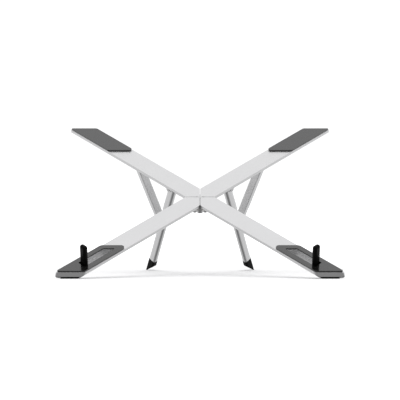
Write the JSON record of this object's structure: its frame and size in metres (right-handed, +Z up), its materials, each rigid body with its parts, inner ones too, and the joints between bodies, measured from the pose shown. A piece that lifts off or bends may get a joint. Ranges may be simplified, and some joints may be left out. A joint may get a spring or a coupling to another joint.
{
  "type": "laptop stand",
  "caption": "Folding X-shaped aluminium laptop stand with black grip pads, hinged front stops and strut-braced rear legs.",
  "frame": {"origin": "on the table, under the middle of the stand's bounding box", "axes": "+X to the user's right along the widest direction, +Y away from the user, +Z up; the arms are spread and the legs and stops are out at rest"},
  "size_m": [0.2136, 0.1795, 0.1169],
  "materials": {
    "aluminium": "bead-blasted silver anodised",
    "aluminium_hub": "bead-blasted silver anodised",
    "pad": "smooth black silicone, slight gloss",
    "stop_rubber": "satin black",
    "rubber": "matt black",
    "steel": "plain steel",
    "nylon": "natural nylon"
  },
  "bodies": {
    "hub": {"hub_plate": "aluminium_hub", "hub_washers": "nylon"},
    "front_arm_left": {"arm_front_left": "aluminium", "pad_front_left": "pad", "sole_left": "rubber", "stop_pin_left": "steel", "pivot_screw_front_left": "steel"},
    "stop_arm_left": {"stop_left": "stop_rubber"},
    "rear_arm_left": {"arm_rear_left": "aluminium", "pad_rear_left": "pad", "leg_bracket_left": "aluminium", "bracket_screws_left": "steel", "leg_pin_left": "steel", "notch_rail_left": "steel", "rail_screws_left": "steel", "pivot_screw_rear_left": "steel"},
    "leg_arm_left": {"leg_left": "aluminium", "foot_cap_left": "rubber", "strut_pin_left": "steel"},
    "strut_arm_left": {"strut_left": "aluminium"},
    "front_arm_right": {"arm_front_right": "aluminium", "pad_front_right": "pad", "sole_right": "rubber", "stop_pin_right": "steel", "pivot_screw_front_right": "steel"},
    "stop_arm_right": {"stop_right": "stop_rubber"},
    "rear_arm_right": {"arm_rear_right": "aluminium", "pad_rear_right": "pad", "leg_bracket_right": "aluminium", "bracket_screws_right": "steel", "leg_pin_right": "steel", "notch_rail_right": "steel", "rail_screws_right": "steel", "pivot_screw_rear_right": "steel"},
    "leg_arm_right": {"leg_right": "aluminium", "foot_cap_right": "rubber", "strut_pin_right": "steel"},
    "strut_arm_right": {"strut_right": "aluminium"}
  },
  "joints": [
    {"name": "front_arm_left_fold", "type": "hinge", "parent": "hub", "child": "front_arm_left", "pos_m": [-0.00413, -0.01333, 0.05145], "axis": [0, -0.5821, 0.8131], "range_deg": [0, 45]},
    {"name": "rear_arm_left_fold", "type": "hinge", "parent": "hub", "child": "rear_arm_left", "pos_m": [-0.00413, 0.00252, 0.0628], "axis": [0, 0.5821, -0.8131], "range_deg": [0, 45]},
    {"name": "stop_left_fold", "type": "hinge", "parent": "front_arm_left", "child": "stop_arm_left", "pos_m": [-0.0857, -0.07683, 0.00967], "axis": [-0.7071, 0.5749, 0.4116], "range_deg": [0, 90]},
    {"name": "leg_left_fold", "type": "hinge", "parent": "rear_arm_left", "child": "leg_arm_left", "pos_m": [-0.02263, 0.01503, 0.06745], "axis": [0.7071, 0.5749, 0.4116], "range_deg": [0, 69.83]},
    {"name": "strut_left_fold", "type": "hinge", "parent": "leg_arm_left", "child": "strut_arm_left", "pos_m": [-0.03102, 0.04567, 0.03907], "axis": [-0.7071, -0.5749, -0.4116], "range_deg": [0, 129.19]},
    {"name": "front_arm_right_fold", "type": "hinge", "parent": "hub", "child": "front_arm_right", "pos_m": [0.00413, -0.01333, 0.05145], "axis": [0, 0.5821, -0.8131], "range_deg": [0, 45]},
    {"name": "rear_arm_right_fold", "type": "hinge", "parent": "hub", "child": "rear_arm_right", "pos_m": [0.00413, 0.00252, 0.0628], "axis": [0, -0.5821, 0.8131], "range_deg": [0, 45]},
    {"name": "stop_right_fold", "type": "hinge", "parent": "front_arm_right", "child": "stop_arm_right", "pos_m": [0.0857, -0.07683, 0.00967], "axis": [-0.7071, -0.5749, -0.4116], "range_deg": [0, 90]},
    {"name": "leg_right_fold", "type": "hinge", "parent": "rear_arm_right", "child": "leg_arm_right", "pos_m": [0.02263, 0.01503, 0.06745], "axis": [0.7071, -0.5749, -0.4116], "range_deg": [0, 69.83]},
    {"name": "strut_right_fold", "type": "hinge", "parent": "leg_arm_right", "child": "strut_arm_right", "pos_m": [0.03102, 0.04567, 0.03907], "axis": [-0.7071, 0.5749, 0.4116], "range_deg": [0, 129.19]}
  ],
  "couplings": [
    {"joint": "leg_left_fold", "follows": "strut_left_fold", "ratio": 0.54046},
    {"joint": "leg_right_fold", "follows": "strut_right_fold", "ratio": 0.54046}
  ]
}
